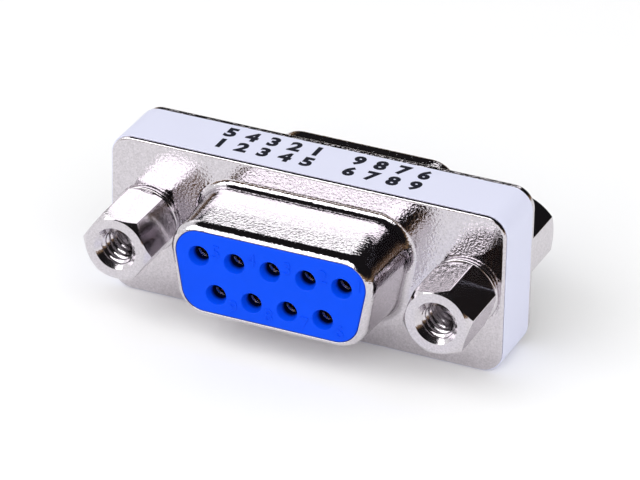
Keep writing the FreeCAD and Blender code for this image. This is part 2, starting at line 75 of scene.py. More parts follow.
# How finely surfaces are divided: points round each corner and between the corners of an
# outline, points of the arcs in a section, points round a hole, and rows to a turn of thread.
OUTLINE = {"per_corner": 17, "per_side": 5}
STRIP_OUTLINE = {"per_corner": 17, "per_side": 3}
BEND_POINTS = 9
LIP_POINTS = 14
INNER_LIP_POINTS = 7
FACE_EDGE_POINTS = 6
SMALL_ARC_POINTS = 5
EASED_POINTS = 4
STRIP_EDGE_POINTS = 3
STUD_HOLE_POINTS = 64
ENTRY_POINTS = 56
HEXAGON_FLAT_POINTS = 11
THREAD_ROWS = 16
FIGURE_CURVE_STEPS = 3

RIM_OVERRUN = 0.02  # radians that a mouth's rim goes on above the face, so that the cut is clean
THREAD_FADE = 0.6  # share of a pitch over which the thread starts at the drill point
CONTACTS = 9
LONG_ROW = 5

# Where the lights of the stage stand about the body, in radians, and how large they are
Spot = namedtuple("Spot", "azimuth elevation distance width height")
FRONT_SOFTBOX = Spot(math.radians(-28), math.radians(42), 0.6, 0.75, 0.56)
RIGHT_FILL = Spot(math.radians(45), math.radians(35), 0.6, 0.5, 0.5)
FRONT_SCREEN = Spot(math.radians(-28), math.radians(34.5), 0.6, 0.75, 0.34)
BACK_SCREEN = Spot(math.radians(-150), math.radians(36.5), 0.7, 0.75, 0.105)
SENSOR_WIDTH = 36
CLIP_START = 0.01
FLOOR_WIDTH = 6.0
CLOTH_RADIUS = 2.5
CLOTH_COLUMNS = 64
CLOTH_ROWS = 17


def length(name, description, millimetres):
    """A length of the object, kept in metres."""
    return FloatProperty(
        name=name, description=description, default=millimetres * MM, min=0, precision=6,
        unit="LENGTH", subtype="DISTANCE",
    )


def angle(name, description, degrees):
    """An angle of the object, kept in radians."""
    return FloatProperty(
        name=name, description=description, default=math.radians(degrees), subtype="ANGLE"
    )


def colour(name, description, value):
    """A scene-linear colour."""
    return FloatVectorProperty(
        name=name, description=description, default=value, size=3, min=0, max=1, subtype="COLOR"
    )


def amount(name, description, value, **limits):
    """A plain number, such as a roughness or a brightness."""
    return FloatProperty(name=name, description=description, default=value, min=0, **limits)


class ShellSizes(bpy.types.PropertyGroup):
    """Sizes of the drawn metal shell at one end."""

    sheet: length("Sheet", "Thickness of the drawn sheet", 0.45)
    shroud_width: length("Shroud width", "Width of the D shroud at the plate", 16.35)
    shroud_height: length("Shroud height", "Height of the D shroud at the plate", 7.95)
    corner_radius: length("Corner radius", "Corner radius of the D at the plate", 2.6)
    side_slope: angle("Side slope", "Lean of the two short sides of the D", 10)
    draft: angle("Draft", "Taper of the shroud towards its mouth", 2.7)
    reach: length("Reach", "From the plate to the top of the lip's curl", 6.1)
    front_lift: length("Front lift", "Front shroud's centre above the contacts' centre", 0.2)
    rear_drop: length("Rear drop", "Rear shroud's centre below the contacts' centre", 0.1)
    lip_radius: length("Lip radius", "Outer radius of the curled lip", 0.85)
    lip_width: length("Lip width", "How far the lip turns in at the mouth", 0.5)
    root_radius: length("Root radius", "Fillet where the shroud leaves the plate", 0.6)
    flange_radius: length("Flange corner", "Corner radius of the plate's outline", 1.6)
    bend_radius: length("Bend", "Outer radius between plate and skirt", 0.22)
    seam_gap: length("Seam gap", "Gap between the skirts of the two shells", 0.1)
    stud_hole: length("Stud hole", "Radius of the two holes for the studs", 1.55)
    edge_ease: length("Edge ease", "How far each sheared edge is rounded over", 0.05)


class InsulatorSizes(bpy.types.PropertyGroup):
    """Sizes of the moulded block that fills one shroud."""

    contact_pitch: length("Contact pitch", "Spacing of the contacts in a row", 2.77)
    row_spacing: length("Row spacing", "Distance between the two rows", 2.84)
    nose_clearance: length("Nose clearance", "Gap between the nose and the shell", 0.08)
    flange: length("Flange", "Thickness of the part behind the plate", 1.11)
    flange_corner: length("Flange corner", "Corner radius of that part", 0.8)
    face_edge: length("Face edge", "Rounding round the front face", 0.12)
    entry_length: length("Entry length", "From the face to the socket contact", 1.2)
    entry_radius: length("Entry radius", "Radius of the hole behind the mouth", 0.58)
    entry_draft: angle("Entry draft", "Taper of that hole", 2)
    mouth_depth: length("Mouth depth", "Depth of the conical mouth", 0.7)
    mouth_flare: length("Mouth flare", "How much wider the mouth is at the face", 0.2)
    mouth_ease: length("Mouth ease", "Rounding of the mouth's rim", 0.09)
    barrel_hole: length("Barrel hole", "Radius of the hole round a contact", 0.8)
    shoulder_hole: length("Shoulder hole", "Radius of the seat of a contact's shoulder", 1.0)
    shoulder_depth: length("Shoulder depth", "Depth of that seat", 0.4)


class PostSizes(bpy.types.PropertyGroup):
    """Sizes of the hexagonal jack posts."""

    across_flats: length("Across flats", "Width of the hexagon", 4.7625)
    corner_ease: length("Corner ease", "Rounding of the hexagon's long edges", 0.1)
    reach: length("Reach", "From the plate to the tapped face", 5.4)
    chamfer_width: length("Chamfer width", "Width of the chamfer at a corner", 0.42)
    chamfer_slope: angle("Chamfer slope", "Slope of the chamfer from the face", 45)
    washer: length("Washer", "Thickness of the round washer under the hexagon", 0.4)
    washer_radius: length("Washer radius", "Radius of that washer", 2.6)
    washer_edge: length("Washer edge", "Rounding of that washer's two edges", 0.13)
    stud_radius: length("Stud radius", "Radius of the shank", 1.4)
    stud_gap: length("Stud gap", "Gap between the two studs in one sleeve", 0.8)
    stud_chamfer: length("Stud chamfer", "Chamfer of the stud's tip", 0.25)
    pitch: length("Thread pitch", "Distance between turns", 0.635)
    minor: length("Minor radius", "Radius of the crests of the tapped thread", 1.13)
    major: length("Major radius", "Radius of the roots of the tapped thread", 1.38)
    flare: length("Flare", "Countersink of the tapped hole", 0.52)
    floor: length("Floor", "Height of the drill point above the plate", 0.8)
    drill_tip: length("Drill tip", "Depth of the conical bottom", 0.5)
    front_left_turn: angle("Front left turn", "Turn of a corner from the long axis", -5)
    front_right_turn: angle("Front right turn", "Turn of a corner from the long axis", 13)
    rear_left_turn: angle("Rear left turn", "Turn of a corner from the long axis", 10)
    rear_right_turn: angle("Rear right turn", "Turn of a corner from the long axis", 30)


class BandSizes(bpy.types.PropertyGroup):
    """Sizes of the strip round both skirts, and of what is printed on it."""

    thickness: length("Thickness", "Thickness of the strip", 0.08)
    seam: length("Seam", "Gap between the strip's ends, under the body", 0.5)
    edge_ease: length("Edge ease", "Rounding of the cut edges", 0.02)
    figure_height: length("Figure height", "Height of the printed figures", 1.42)
    figure_weight: length("Figure weight", "How much the strokes are thickened", 0.075)
    figure_step: length("Figure step", "Distance from one figure to the next", 1.7)
    word_gap: length("Group gap", "Extra room between the two groups", 1.6)
    upper_line: length("Upper line", "Foot of the line near the rear, behind the middle", 0.26)
    lower_line: length("Lower line", "Foot of the line near the front, before the middle", 1.54)
    ink: length("Ink", "Height of the ink on the strip", 0.006)


class FaceFigureSizes(bpy.types.PropertyGroup):
    """Sizes of the raised contact numbers on the moulded faces."""

    height: length("Height", "Height of a figure", 1.0)
    relief: length("Relief", "How far a figure stands off the face", 0.05)
    across: length("Across", "From a contact to its figure, along the row", 1.34)
    away: length("Away", "From a contact's row to its figure, away from the middle", 0.62)


class FinishSettings(bpy.types.PropertyGroup):
    """Colours and grain of the finishes."""

    nickel: colour("Nickel", "Bright nickel plate", (0.62, 0.588, 0.62))
    nickel_roughness: amount("Nickel roughness", "Blur of the plate's reflections", 0.07, max=1)
    post_roughness: amount("Post roughness", "How much rougher the posts' plate is", 0.05, max=1)
    post_grain: amount("Post grain", "Share of the grain that the posts' plate has", 0.35, max=1)
    grain_size: length("Grain", "Size of the plate's fine unevenness", 0.2)
    grain_depth: length("Grain depth", "Depth of that unevenness", 0.018)
    speck_size: length("Specks", "Size of the plate's fine light and dark specks", 0.13)
    speck_contrast: amount("Speck contrast", "How much those specks differ in tone", 0.35, max=1)
    film: colour("Film", "Pale strip round the body", (0.708, 0.722, 0.88))
    ink: colour("Ink", "Printed figures", (0.006, 0.007, 0.014))
    blue: colour("Blue", "Moulded insulator", (0.0, 0.064, 0.74))
    # Painted shade: how deep in the holes the blue is darkened, and how dark, standing in for the
    # shade that falls there.
    shade_start: length("Shade start", "Depth where the blue holes begin to darken", 0.48)
    shade_length: length("Shade length", "Depth over which they grow dark", 0.32)
    shade_tone: amount("Shade tone", "Share of the blue that is left in them", 0.04, max=1)
    nylon: colour("Nylon", "Inner retainers", (0.78, 0.76, 0.70))
    laminate: colour("Laminate", "Circuit board", (0.03, 0.19, 0.07))
    steel: colour("Steel", "Screw sleeves", (0.56, 0.55, 0.54))
    gold: colour("Gold", "Flashed contacts", (0.93, 0.70, 0.36))


class StageSettings(bpy.types.PropertyGroup):
    """Camera, lamps, floor and what the metal mirrors."""

    azimuth: angle("Azimuth", "Turn of the camera to the right of the front", 23.487)
    elevation: angle("Elevation", "Height of the camera above the level", 28.27)
    roll: angle("Roll", "Turn of the camera about its own axis", 1.201)
    distance: length("Distance", "From the camera to the middle of the body", 349.131)
    shift_left: length("Shift left", "Camera moved left of its aim", 0.028)
    shift_down: length("Shift down", "Camera moved below its aim", 0.24)
    lens: amount(
        "Lens", "Focal length on a sensor 36 mm wide", 271.78, subtype="DISTANCE_CAMERA"
    )
    ambient: amount("Ambient", "Strength of the even light on the object", 0.59)
    key_power: amount("Key power", "Power of the softbox in front", 2.4, unit="POWER")
    fill_power: amount("Fill power", "Power of the light on the right", 1.4, unit="POWER")
    front_glow: amount("Front glow", "Brightness of the screen in front, in the metal", 3)
    back_glow: amount("Back glow", "Brightness of the screen behind, in the metal", 2.0)
    floor: colour("Floor", "Pale floor", (0.972, 0.972, 0.976))
    floor_gap: length("Floor gap", "Between the strip and the floor", 0.01)
    cloth: colour("Cloth", "Dark cloth seen only in the metal", (0.012, 0.011, 0.012))
    cloth_foot: colour("Cloth foot", "Warm foot of that cloth", (0.36, 0.23, 0.125))
    foot_height: length("Foot height", "Height over which that foot fades out", 600)
    window_start: angle("Window start", "Where the cloth ends, behind on the left", 215)
    window_end: angle("Window end", "Where it starts again, left of the front", 305)
    window_top: angle("Window top", "Height of the gap on the left", 45)


SETTINGS = {
    "shell_sizes": ShellSizes,
    "insulator_sizes": InsulatorSizes,
    "post_sizes": PostSizes,
    "band_sizes": BandSizes,
    "face_figure_sizes": FaceFigureSizes,
    "finish_settings": FinishSettings,
    "stage_settings": StageSettings,
}


def arc(centre, radius, start, end, count):
    """Points of an arc: centre + radius (cos t, sin t) for t evenly spaced from start to end."""
    turn = np.linspace(start, end, count)
    return np.stack([centre[0] + radius * np.cos(turn), centre[1] + radius * np.sin(turn)], axis=1)


def eased(before, corner, after, reach, count=EASED_POINTS):
    """Points that round off a corner: (1-t)^2 P + 2t(1-t) corner + t^2 Q, where P and Q lie on the
    lines to the points before and after it, at a given reach."""
    before, corner, after = (np.asarray(point, float) for point in (before, corner, after))
    start = corner + reach * (before - corner) / np.linalg.norm(before - corner)
    end = corner + reach * (after - corner) / np.linalg.norm(after - corner)
    t = np.linspace(0, 1, count)[:, None]
    return (1 - t) ** 2 * start + 2 * t * (1 - t) * corner + t**2 * end


def rounded_columns(width, height, radius, spread, rise, per_corner, per_side):
    """Columns of a four-cornered outline, wider at its top by spread on each side.

    Each column has an anchor A, a corner's centre or a point between two of them, and a unit
    normal n. The outline is A + radius n, and the same outline offset by o is A + (radius + o) n.
    """
    half_top = width / 2 - radius
    climb = height / 2 - radius
    centres = np.array([
        (half_top, rise + climb), (half_top - spread, rise - climb),
        (spread - half_top, rise - climb), (-half_top, rise + climb),
    ])
    lean = math.atan2(spread, 2 * climb)
    ends = np.array([math.pi / 2, -lean, -math.pi / 2, lean - math.pi, -1.5 * math.pi])
    anchors, turns = [], []
    for corner in range(4):
        anchors.append(np.repeat(centres[corner][None], per_corner, axis=0))
        turns.append(np.linspace(ends[corner], ends[corner + 1], per_corner))
        share = np.arange(1, per_side + 1)[:, None] / (per_side + 1)
        following = centres[(corner + 1) % 4]
        anchors.append(centres[corner] + share * (following - centres[corner]))
        turns.append(np.full(per_side, ends[corner + 1]))
    turn = np.concatenate(turns)
    return np.concatenate(anchors), np.stack([np.cos(turn), np.sin(turn)], axis=1)


def swept(columns, radius, profile):
    """Grid of points: a profile row (offset o, height z) is anchor + (radius + o) normal at z."""
    anchors, normals = columns
    offsets = radius + profile[:, 0]
    flat = anchors[None] + offsets[:, None, None] * normals[None]
    heights = np.broadcast_to(profile[:, 1][:, None, None], flat.shape[:2] + (1,))
    return np.concatenate([flat, heights], axis=2)


def turned(profile, angles):
    """Grid of points: each profile row (radius r, height z) is (r cos a, r sin a, z)."""
    radius = profile[:, 0][:, None]
    return np.stack([
        radius * np.cos(angles)[None], radius * np.sin(angles)[None],
        np.broadcast_to(profile[:, 1][:, None], (len(profile), len(angles))),
    ], axis=2)


def grid_faces(grid, close_rows=False, close_columns=True, caps=None):
    """Corner numbers of the quads between neighbouring rows and columns of a grid of points.

    Caps on "rows" or "columns" add the two faces that close the outermost ones.
    """
    numbers = np.arange(grid[..., 0].size).reshape(grid.shape[:2])
    ends = []
    if caps == "rows":
        ends = [numbers[0, ::-1].tolist(), numbers[-1].tolist()]
    if caps == "columns":
        ends = [numbers[:, 0].tolist(), numbers[::-1, -1].tolist()]
    if close_rows:
        numbers = np.concatenate([numbers, numbers[:1]])
    if close_columns:
        numbers = np.concatenate([numbers, numbers[:, :1]], axis=1)
    quads = np.stack(
        [numbers[:-1, :-1], numbers[:-1, 1:], numbers[1:, 1:], numbers[1:, :-1]], axis=-1
    )
    return quads.reshape(-1, 4).tolist() + ends


def new_object(name, data):
    """An object at the origin that holds a mesh, a curve, a lamp or a camera."""
    item = bpy.data.objects.new(name, data)
    bpy.context.scene.collection.objects.link(item)
    return item


def solid(name, points, faces):
    """A closed object whose faces point outwards.

    Equal points are merged and faces with no area removed. The volume that the faces close is a
    sixth of the sum of a . (b x c) over the triangles, and where it is negative they are turned.
    """
    mesh = bpy.data.meshes.new(name)
    mesh.from_pydata(points.reshape(-1, 3).tolist(), [], faces)
    work = bmesh.new()
    work.from_mesh(mesh)
    bmesh.ops.remove_doubles(work, verts=work.verts, dist=WELD)
    bmesh.ops.dissolve_degenerate(work, edges=work.edges, dist=WELD)
    work.to_mesh(mesh)
    work.free()
    mesh.calc_loop_triangles()
    corners = np.empty(len(mesh.loop_triangles) * 3, np.int32)
    mesh.loop_triangles.foreach_get("vertices", corners)
    places = np.empty(len(mesh.vertices) * 3)
    mesh.vertices.foreach_get("co", places)
    a, b, c = np.moveaxis(places.reshape(-1, 3)[corners.reshape(-1, 3)], 1, 0)
    if np.einsum("ij,ij->", a, np.cross(b, c)) < 0:
        mesh.flip_normals()
    return new_object(name, mesh)


def evaluated_mesh(item):
    """A mesh of an object as its modifiers or its curve settings make it."""
    bpy.context.view_layer.update()
    graph = bpy.context.evaluated_depsgraph_get()
    return bpy.data.meshes.new_from_object(item.evaluated_get(graph))


def cut_away(item, cutters):
    """Takes the cutters out of the object and deletes them."""
    for cutter in cutters:
        modifier = item.modifiers.new("cut", "BOOLEAN")
        modifier.operation = "DIFFERENCE"
        modifier.solver = "EXACT"
        modifier.object = cutter
    mesh = evaluated_mesh(item)
    item.modifiers.clear()
    item.data = mesh
    for cutter in cutters:
        bpy.data.objects.remove(cutter)


def shaded(item):
    """Smooth shading across gentle bends, with flat faces kept flat and hard edges hard."""
    mesh = item.data
    mesh.polygons.foreach_set("use_smooth", [True] * len(mesh.polygons))
    mesh.set_sharp_from_angle(angle=SMOOTH_LIMIT)
    modifier = item.modifiers.new("even_normals", "WEIGHTED_NORMAL")
    modifier.keep_sharp = True
    modifier.weight = FLAT_FACE_WEIGHT


def seated(item, material, nodes=()):
    """Gives a finished piece its material and its body, and hides the parts of model.glb that it
    stands for.
    """
    item.data.materials.clear()
    item.data.materials.append(material)
    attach(item, "root")
    if nodes:
        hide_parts(*nodes)


def place_end(points, end):
    """Points (across, up, out) at the front as (x, -out, up) and at the rear as (x, out, -up)."""
    across, up, out = np.moveaxis(points, -1, 0)
    facing = 1 if end == "front" else -1
    return np.stack([across, -facing * out, AXIS_HEIGHT + facing * up], axis=-1)


def plate_level():
    """Height of the plate's outer face above the mid-plane, from a post's box and its reach."""
    low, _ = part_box("front_left_jack_post")
    return -low.y - bpy.context.scene.post_sizes.reach


def shroud_lift(sizes, end):
    """How far one end's shroud stands off the contacts' centre, towards its wide side."""
    return sizes.front_lift if end == "front" else sizes.rear_drop


def contact_places():
    """Across and up for contacts 1 to 9, looking at one end: contact 1 ends the long row."""
    sizes = bpy.context.scene.insulator_sizes
    places = []
    for count, up in ((LONG_ROW, 1), (CONTACTS - LONG_ROW, -1)):
        across = (count - 1) / 2 - np.arange(count)
        places += [(step * sizes.contact_pitch, up * sizes.row_spacing / 2) for step in across]
    return places


def feed(tree, node, inputs):
    """Sets a node's inputs to values, or links them from other nodes' outputs."""
    for name, value in inputs.items():
        if isinstance(value, bpy.types.NodeSocket):
            tree.links.new(value, node.inputs[name])
        else:
            node.inputs[name].default_value = value


def new_node(tree, kind, inputs=None, **settings):
    """A new node of a tree, with its settings and its inputs."""
    node = tree.nodes.new(kind)
    for name, value in settings.items():
        setattr(node, name, value)
    feed(tree, node, inputs or {})
    return node


def new_surface(name):
    """A new material, its node tree, its shader and its Object coordinates."""
    material = bpy.data.materials.new(name)
    material.use_nodes = True
    tree = material.node_tree
    places = new_node(tree, "ShaderNodeTexCoord").outputs["Object"]
    return material, tree, tree.nodes["Principled BSDF"], places


def noise(tree, places, size, detail=2.0, roughness=0.5):
    """A noise texture whose features are about size metres."""
    inputs = {"Vector": places, "Scale": 1 / size, "Detail": detail, "Roughness": roughness}
    return new_node(tree, "ShaderNodeTexNoise", inputs).outputs["Fac"]


def ranged(tree, value, low, high, start=0, end=1):
    """A value between start and end mapped to the range from low to high, and held there."""
    return new_node(tree, "ShaderNodeMapRange", {
        "Value": value, "From Min": start, "From Max": end, "To Min": low, "To Max": high,
    }).outputs["Result"]


def blended(tree, factor, first, second):
    """The first colour where the factor is 0 and the second where it is 1."""
    return new_node(
        tree, "ShaderNodeMix", {"Factor": factor, "A": first, "B": second}, data_type="RGBA"
    ).outputs["Result"]


def bump(tree, height, depth):
    """The surface's normal under a height of 0..1 times a depth in metres."""
    inputs = {"Height": height, "Distance": depth, "Strength": 1}
    return new_node(tree, "ShaderNodeBump", inputs).outputs["Normal"]


def arithmetic(tree, operation, *values):
    """The result of one arithmetic node on other nodes' outputs."""
    inputs = dict(enumerate(values))
    return new_node(tree, "ShaderNodeMath", inputs, operation=operation).outputs["Value"]


def coordinate(tree, axis):
    """One of the object's own coordinates, in metres."""
    places = new_node(tree, "ShaderNodeTexCoord").outputs["Object"]
    return new_node(tree, "ShaderNodeSeparateXYZ", {"Vector": places}).outputs[axis]


def tinted(value, factor=1.0):
    """A node's colour, made darker or lighter by a factor."""
    return (*(min(1.0, channel * factor) for channel in value), 1)


def mottled(name, tone, patch, detail, shades, roughness, specular=0.5, pebble=None):
    """A matt surface whose tone, and gloss where roughness is a pair, vary with one noise.

    patch is the size of the noise, shades the factors of its darkest and lightest tone, and
    pebble the size and depth of a fine relief.
    """
    material, tree, shader, places = new_surface(name)
    patches = noise(tree, places, patch, detail)
    darkest, lightest = (tinted(tone, shade) for shade in shades)
    if isinstance(roughness, tuple):
        roughness = ranged(tree, patches, *roughness)
    feed(tree, shader, {
        "Base Color": blended(tree, patches, darkest, lightest), "Roughness": roughness,
        "Specular IOR Level": specular,
    })
    if pebble:
        size, depth = pebble
        feed(tree, shader, {"Normal": bump(tree, noise(tree, places, size), depth)})
    return material


def nickel_plate(name, roughness_shift=0.0, grain_share=1.0):
    """Bright plate: a mirror with a fine orange-peel grain, small specks and uneven polish."""
    finish = bpy.context.scene.finish_settings
    material, tree, shader, places = new_surface(name)
    polish = noise(tree, places, size=2.5 * MM, detail=3)
    specks = noise(tree, places, finish.speck_size, detail=2, roughness=0.6)
    grain = noise(tree, places, finish.grain_size, detail=1.5, roughness=0.55)
    contrast, unevenness = finish.speck_contrast, 0.03
    darkest, lightest = tinted(finish.nickel, 1 - contrast), tinted(finish.nickel, 1 + contrast)
    rough = finish.nickel_roughness + roughness_shift
    feed(tree, shader, {
        "Metallic": 1,
        "Base Color": blended(tree, specks, darkest, lightest),
        "Roughness": ranged(tree, polish, rough - unevenness, rough + unevenness),
        "Normal": bump(tree, grain, finish.grain_depth * grain_share),
    })
    return material


def wrap_film(name):
    """Satin plastic film with a hardly visible pebbling."""
    return mottled(
        name, bpy.context.scene.finish_settings.film, patch=3 * MM, detail=3,
        shades=(0.985, 1.015), roughness=(0.46, 0.54), specular=0.25, pebble=(0.12 * MM, 0.8e-6),
    )


def blue_plastic(name):
    """Moulded thermoplastic: saturated, slightly glossy, with faint flow marks, and painted shade
    that darkens the blue deeper in its holes.

    The distance |y| from the mid-plane gives the depth in a hole.
    """
    finish = bpy.context.scene.finish_settings
    material = mottled(
        name, finish.blue, patch=1.6 * MM, detail=4, shades=(0.94, 1.04), roughness=(0.36, 0.46),
        specular=0.1, pebble=(0.1 * MM, 0.6e-6),
    )
    tree = material.node_tree
    shader = tree.nodes["Principled BSDF"]
    lit = shader.inputs["Base Color"].links[0].from_socket
    # Painted shade: below a depth in each hole the blue fades to a dark tone, standing in for the
    # shade that falls there.
    level = FACE_LEVEL - finish.shade_start
    distance = arithmetic(tree, "ABSOLUTE", coordinate(tree, "Y"))
    inside = ranged(tree, distance, 0, 1, start=level, end=level - finish.shade_length)
    dark = tinted(finish.blue, finish.shade_tone)
    feed(tree, shader, {"Base Color": blended(tree, inside, lit, dark)})
    return material


def printed_ink(name):
    """Dense black ink with slightly mottled gloss."""
    return mottled(
        name, bpy.context.scene.finish_settings.ink, patch=0.08 * MM, detail=2, shades=(1, 1.8),
        roughness=(0.45, 0.6), specular=0.1,
    )


def nylon(name):
    """Unfilled nylon: milky, soft-edged."""
    return mottled(
        name, bpy.context.scene.finish_settings.nylon, patch=1.2 * MM, detail=3,
        shades=(0.95, 1), roughness=(0.42, 0.5), pebble=(0.1 * MM, 1e-6),
    )


def board_laminate(name):
    """Green resist over woven glass: a faint square weave in colour and relief."""
    green = bpy.context.scene.finish_settings.laminate
    material, tree, shader, places = new_surface(name)
    weave = new_node(tree, "ShaderNodeTexBrick", {
        "Vector": places, "Scale": 1 / (2 * MM), "Mortar Size": 0.03,
        "Color1": tinted(green), "Color2": tinted(green, 1.2), "Mortar": tinted(green, 0.7),
    }).outputs
    feed(tree, shader, {
        "Base Color": weave["Color"], "Roughness": 0.35, "Normal": bump(tree, weave["Fac"], 2e-6),
    })
    return material


def turned_metal(name, tone, roughness):
    """Turned metal: fine rings left by the tool along the connector's axis."""
    material, tree, shader, places = new_surface(name)
    inputs = {"Vector": places, "Scale": 1 / (0.6 * MM), "Distortion": 0.6}
    rings = new_node(tree, "ShaderNodeTexWave", inputs, bands_direction="Y").outputs["Fac"]
    feed(tree, shader, {
        "Metallic": 1,
        "Base Color": blended(tree, rings, tinted(tone, 0.93), tinted(tone)),
        "Roughness": roughness,
        "Normal": bump(tree, rings, 1e-6),
    })
    return material


def box_columns(low, high, radius, division=OUTLINE):
    """Columns of a plain rounded rectangle as wide and as high as a box."""
    return rounded_columns(high.x - low.x, high.z - low.z, radius, 0, 0, **division)


def shroud_columns(shell, lift):
    """Columns of the shroud's D at the plate, its centre a lift off the contacts' centre."""
    spread = (shell.shroud_height - 2 * shell.corner_radius) * math.tan(shell.side_slope)
    return rounded_columns(
        shell.shroud_width, shell.shroud_height, shell.corner_radius, spread, lift, **OUTLINE
    )


def fillet_offset(radius, lean):
    """Distance from a wall's edge to the centre of a fillet between it and a level face:
    r (1 - sin a) / cos a for the radius r and the wall's lean a."""
    return radius * (1 - math.sin(lean)) / math.cos(lean)


def lip_centre(foot, climb, radius, draft):
    """Centre of an arc of radius r that touches the inner side of a wall, at a climb c above its
    foot (o, z): (o - (r + c sin d) / cos d, z + c), where the wall leans in by the draft d."""
    offset, level = foot
    return offset - (radius + climb * math.sin(draft)) / math.cos(draft), level + climb


def shell_points(sizes, plate, lift):
    """Grid of one shell's closed section: skirt and bend, shroud, then the skirt's inner wall.

    In the section, the first coordinate is the offset outwards from an outline and the second the
    height. The inner wall is the outer one offset by the sheet's thickness, so the arcs of the
    root and of the lip share their centres with it.
    """
    sheet, bend, draft = sizes.sheet, sizes.bend_radius, sizes.draft
    rim, inside, ease = sizes.seam_gap / 2, plate - sheet, sizes.edge_ease
    outer_skirt = np.concatenate([
        eased((-sheet, rim), (0, rim), (0, plate), ease),
        arc((-bend, plate - bend), bend, 0, math.pi / 2, BEND_POINTS),
    ])
    root = sizes.root_radius
    root_centre = (fillet_offset(root, draft), plate + root)
    curl = sizes.lip_radius
    curl_centre = lip_centre((0, plate), sizes.reach - curl, curl, draft)
    mouth = -(sizes.reach * math.tan(draft) + sizes.lip_width)
    outer_end = math.acos((mouth - curl_centre[0]) / curl)
    inner_end = math.acos((mouth - curl_centre[0]) / (curl - sheet))
    outer_lip = arc(curl_centre, curl, draft, outer_end, LIP_POINTS)
    inner_lip = arc(curl_centre, curl - sheet, inner_end, draft, INNER_LIP_POINTS)
    edge = eased(outer_lip[-2], outer_lip[-1], inner_lip[0], ease)
    shroud = np.concatenate([
        arc(root_centre, root, -math.pi / 2, -math.pi + draft, BEND_POINTS),
        outer_lip[:-1], edge, inner_lip,
        arc(root_centre, root + sheet, -math.pi + draft, -math.pi / 2, BEND_POINTS),
    ])
    inner_skirt = np.concatenate([
        [(-sheet, inside)],
        eased((-sheet, inside), (-sheet, rim), (0, rim), ease),
    ])
    flange = box_columns(SHELL_LOW, SHELL_HIGH, sizes.flange_radius)
    return np.concatenate([
        swept(flange, sizes.flange_radius, outer_skirt),
        swept(shroud_columns(sizes, lift), sizes.corner_radius, shroud),
        swept(flange, sizes.flange_radius, inner_skirt),
    ])


def turned_tool(name, profile, count, across, up, end):
    """A cutter turned about a line along the connector's axis, with count points round it."""
    angles = np.linspace(0, 2 * math.pi, count, endpoint=False)
    points = turned(profile, angles) + np.array([across, up, 0])
    return solid(name, place_end(points, end), grid_faces(points))


class CONNECTOR_OT_shells(bpy.types.Operator):
    """Make the two drawn metal shells"""

    bl_idname = "connector.shells"
    bl_label = "Make shells"

    def execute(self, context):
        sizes = context.scene.shell_sizes
        plate = plate_level()
        material = nickel_plate("shell_nickel_plate")
        low, high, radius = plate - 2 * sizes.sheet, plate + sizes.sheet, sizes.stud_hole
        drill = np.array([(0, low), (radius, low), (radius, high), (0, high)])
        for end in ENDS:
            points = shell_points(sizes, plate, shroud_lift(sizes, end))
            faces = grid_faces(points, close_rows=True)
            shell = solid(f"{end}_shell_drawn", place_end(points, end), faces)
            cut_away(shell, [
                turned_tool(f"{side}_hole", drill, STUD_HOLE_POINTS, way * SCREW_OFFSET, 0, end)
                for side, way in SIDES
            ])
            shaded(shell)
            seated(shell, material, [f"{end}_shell"])
        return {"FINISHED"}


def insulator_points(shell, sizes, plate, lift):
    """Grid of one insulator: flange, drafted nose, shoulder arc, face boss and rounded face edge.

    The nose stands one clearance inside the shell's inner wall. Its shoulder arc is cut short where
    it meets the face boss, at the angle whose cosine is the boss's distance from the arc's centre
    over the radius.
    """
    draft, sheet, clearance = shell.draft, shell.sheet, sizes.nose_clearance
    inside = plate - sheet
    start = -(sheet / math.cos(draft) - sheet * math.tan(draft) + clearance)
    round_over = shell.lip_radius - sheet
    climb = plate + shell.reach - sheet - clearance - round_over - inside
    centre = lip_centre((start, inside), climb, round_over, draft)
    boss = -(shell.reach * math.tan(draft) + shell.lip_width + clearance / 2)
    shoulder_end = math.acos((boss - centre[0]) / round_over)
    edge = sizes.face_edge
    nose = np.concatenate([
        [(start, inside)],
        arc(centre, round_over, draft, shoulder_end, SMALL_ARC_POINTS),
        arc((boss - edge, FACE_LEVEL - edge), edge, 0, math.pi / 2, FACE_EDGE_POINTS),
    ])
    flange = box_columns(INSULATOR_LOW, INSULATOR_HIGH, sizes.flange_corner)
    return np.concatenate([
        swept(flange, sizes.flange_corner, np.array([(0, inside - sizes.flange), (0, inside)])),
        swept(shroud_columns(shell, lift), shell.corner_radius, nose),
    ])


def entry_profile(sizes, plate, sheet):
    """Section of the cutter for one contact: seat, barrel hole, drafted hole, mouth, eased rim.

    The rim is a fillet between the mouth's cone and the face. The cutter reaches as far beyond
    both ends of the block as that fillet's radius.
    """
    face = FACE_LEVEL
    back = plate - sheet - sizes.flange
    throat = sizes.entry_radius + (sizes.entry_length - sizes.mouth_depth) * math.tan(
        sizes.entry_draft
    )
    lean = math.atan2(sizes.mouth_flare, sizes.mouth_depth)
    ease = sizes.mouth_ease
    centre = (throat + sizes.mouth_flare + fillet_offset(ease, lean), face - ease)
    rim = arc(centre, ease, math.pi - lean, math.pi / 2 - RIM_OVERRUN, SMALL_ARC_POINTS)
    return np.concatenate([
        [
            (0, back - ease), (sizes.shoulder_hole, back - ease),
            (sizes.shoulder_hole, back + sizes.shoulder_depth),
            (sizes.barrel_hole, back + sizes.shoulder_depth),
            (sizes.barrel_hole, face - sizes.entry_length),
            (sizes.entry_radius, face - sizes.entry_length),
            (throat, face - sizes.mouth_depth),
        ],
        rim,
        [(rim[-1][0], face + ease), (0, face + ease)],
    ])


